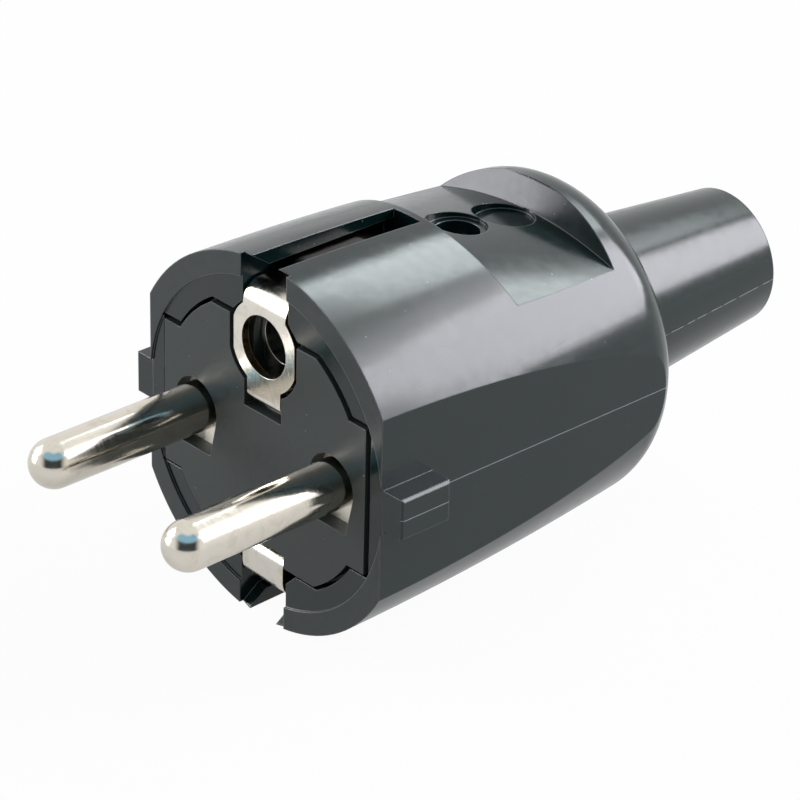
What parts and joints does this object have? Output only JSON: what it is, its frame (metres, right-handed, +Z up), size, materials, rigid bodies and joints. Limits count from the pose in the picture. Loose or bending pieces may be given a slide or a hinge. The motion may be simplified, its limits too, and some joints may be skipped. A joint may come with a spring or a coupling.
{
  "type": "schuko plug",
  "caption": "Straight rewireable schuko mains plug with round pins, side earth contacts, an earth-pin hole, guide ribs, a grip recess and a tapered bend-protection sleeve",
  "frame": {"origin": "middle of the engagement face (front of the plate), halfway between the pins", "axes": "X across the pins, -Y the way the pins point, +Y towards the cord, Z up with the earth-pin hole and the grip recess on the upper side"},
  "size_m": [0.0374, 0.08, 0.037],
  "materials": {
    "black_housing": "moulded black plastic with a soft gloss",
    "black_insert": "moulded black plastic",
    "black_sleeve": "soft black plastic with a low gloss",
    "nickel": "nickel-plated, turned",
    "terminal_brass": "plated brass",
    "earth_strip": "plated spring strip with bare cut edges",
    "zinc_steel": "zinc-plated steel"
  },
  "bodies": {
    "root": {"housing": "black_housing", "front_plate": "black_insert", "contact_carrier": "black_insert", "live_pin": "nickel", "neutral_pin": "nickel", "live_terminal": "terminal_brass", "neutral_terminal": "terminal_brass", "live_terminal_screw": "zinc_steel", "neutral_terminal_screw": "zinc_steel", "live_wire_guard": "zinc_steel", "neutral_wire_guard": "zinc_steel", "earth_bracket": "earth_strip", "earth_socket": "earth_strip", "earth_rivet": "terminal_brass", "earth_terminal": "terminal_brass", "earth_terminal_screw": "zinc_steel", "cord_clamp_bar": "black_insert", "cord_clamp_screw_left": "zinc_steel", "cord_clamp_screw_right": "zinc_steel", "housing_screw": "zinc_steel", "housing_nut": "zinc_steel", "bend_sleeve": "black_sleeve"}
  },
  "joints": []
}
